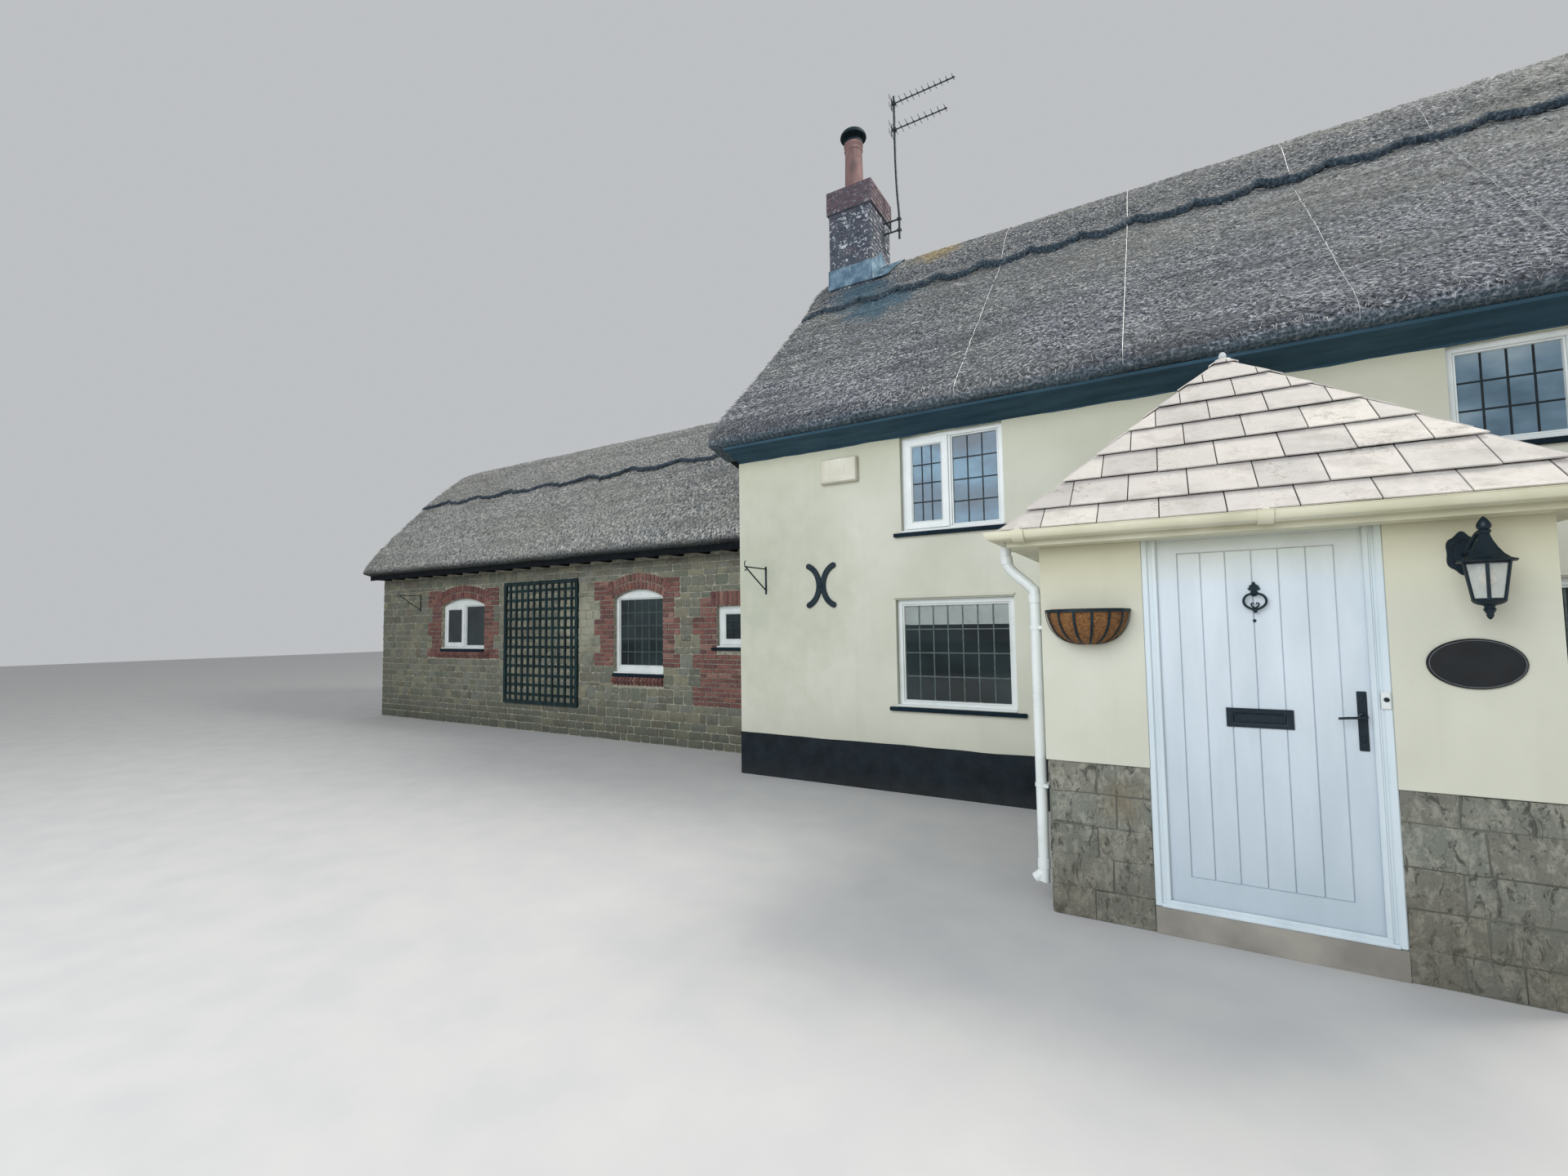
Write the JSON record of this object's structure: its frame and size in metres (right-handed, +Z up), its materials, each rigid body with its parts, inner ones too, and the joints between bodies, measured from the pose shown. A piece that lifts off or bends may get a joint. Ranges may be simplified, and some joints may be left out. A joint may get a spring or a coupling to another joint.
{
  "type": "thatched cottage",
  "caption": "Hollow two-storey rendered cottage with steep thatched roof, hipped slate porch with opening front door, brick chimney and a long single-storey thatched stone wing.",
  "frame": {"origin": "middle of the house's plan, on the ground", "axes": "+Z up; -Y is the front, where the porch and front door are; the wing runs off along -X"},
  "size_m": [20.45, 8.458, 10.25],
  "materials": {
    "cream_render": "painted lime render",
    "stone": "squared rubble",
    "concrete": "floated",
    "floorboards": "planed",
    "thatch": "weathered straw",
    "ridge_thatch": "weathered straw",
    "brick": "weathered",
    "lead": "weathered lead sheet",
    "terracotta": "fired clay",
    "black_painted_timber": "gloss paint",
    "black_iron": "black paint",
    "aluminium": "dull",
    "white_plastic": "satin",
    "cream_plastic": "satin",
    "slate": "weathered",
    "coir": "matted fibre",
    "dark_timber": "dark stain"
  },
  "bodies": {
    "building": {"main_floor": "concrete", "upper_floor": "floorboards", "front_wall_left": "cream_render", "front_wall_right": "cream_render", "front_wall_over_door": "cream_render", "back_wall": "cream_render", "left_gable_wall": "cream_render", "right_gable_wall": "cream_render", "window_ground_left": "white_plastic", "window_ground_right": "white_plastic", "window_upper_left": "white_plastic", "window_upper_right": "white_plastic", "window_back_ground_left": "white_plastic", "window_back_ground_right": "white_plastic", "window_back_upper_left": "white_plastic", "window_back_upper_right": "white_plastic", "window_wing_left": "white_plastic", "window_wing_middle": "white_plastic", "window_wing_right": "white_plastic", "window_wing_back": "white_plastic", "chimney": "brick", "chimney_flashing": "lead", "chimney_pot": "terracotta", "chimney_cowl": "black_iron", "tv_aerial": "aluminium", "main_thatch": "thatch", "main_ridge": "ridge_thatch", "front_eaves_board": "black_painted_timber", "back_eaves_board": "black_painted_timber", "wing_floor": "concrete", "wing_front_wall": "stone", "wing_back_wall": "stone", "wing_gable_wall": "stone", "wing_thatch": "thatch", "wing_ridge": "ridge_thatch", "wing_front_rafters": "black_painted_timber", "wing_back_rafters": "black_painted_timber", "porch_floor": "concrete", "porch_wall_left": "cream_render", "porch_wall_right": "cream_render", "porch_lintel": "cream_render", "porch_roof": "slate", "porch_fascia": "white_plastic", "porch_gutter": "white_plastic", "porch_downpipe": "white_plastic", "door_frame": "white_plastic", "wall_lantern": "black_iron", "name_plaque": "black_iron", "wall_basket": "coir", "wall_tie": "black_iron", "alarm_box": "cream_plastic", "basket_bracket": "black_iron", "trellis": "dark_timber"},
    "front_door": {"door_leaf": "white_plastic", "door_handle_plate": "black_iron", "letter_plate": "black_iron", "knocker_plate": "black_iron"},
    "lever_handle": {"door_lever": "black_iron"},
    "knocker": {"knocker_ring": "black_iron"}
  },
  "joints": [
    {"name": "front_door_hinge", "type": "hinge", "parent": "building", "child": "front_door", "pos_m": [-0.4905, -4.925, 1.22], "axis": [0, 0, 1], "range_deg": [0, 90]},
    {"name": "lever_turn", "type": "hinge", "parent": "front_door", "child": "lever_handle", "pos_m": [0.404, -4.9675, 1.28], "axis": [0, -1, 0], "range_deg": [0, 40], "stiffness_Nm_per_rad": 2, "springref_deg": -28.65},
    {"name": "knocker_swing", "type": "hinge", "parent": "front_door", "child": "knocker", "pos_m": [-0.02, -5.026, 1.93], "axis": [-1, 0, 0], "range_deg": [0, 85]}
  ]
}
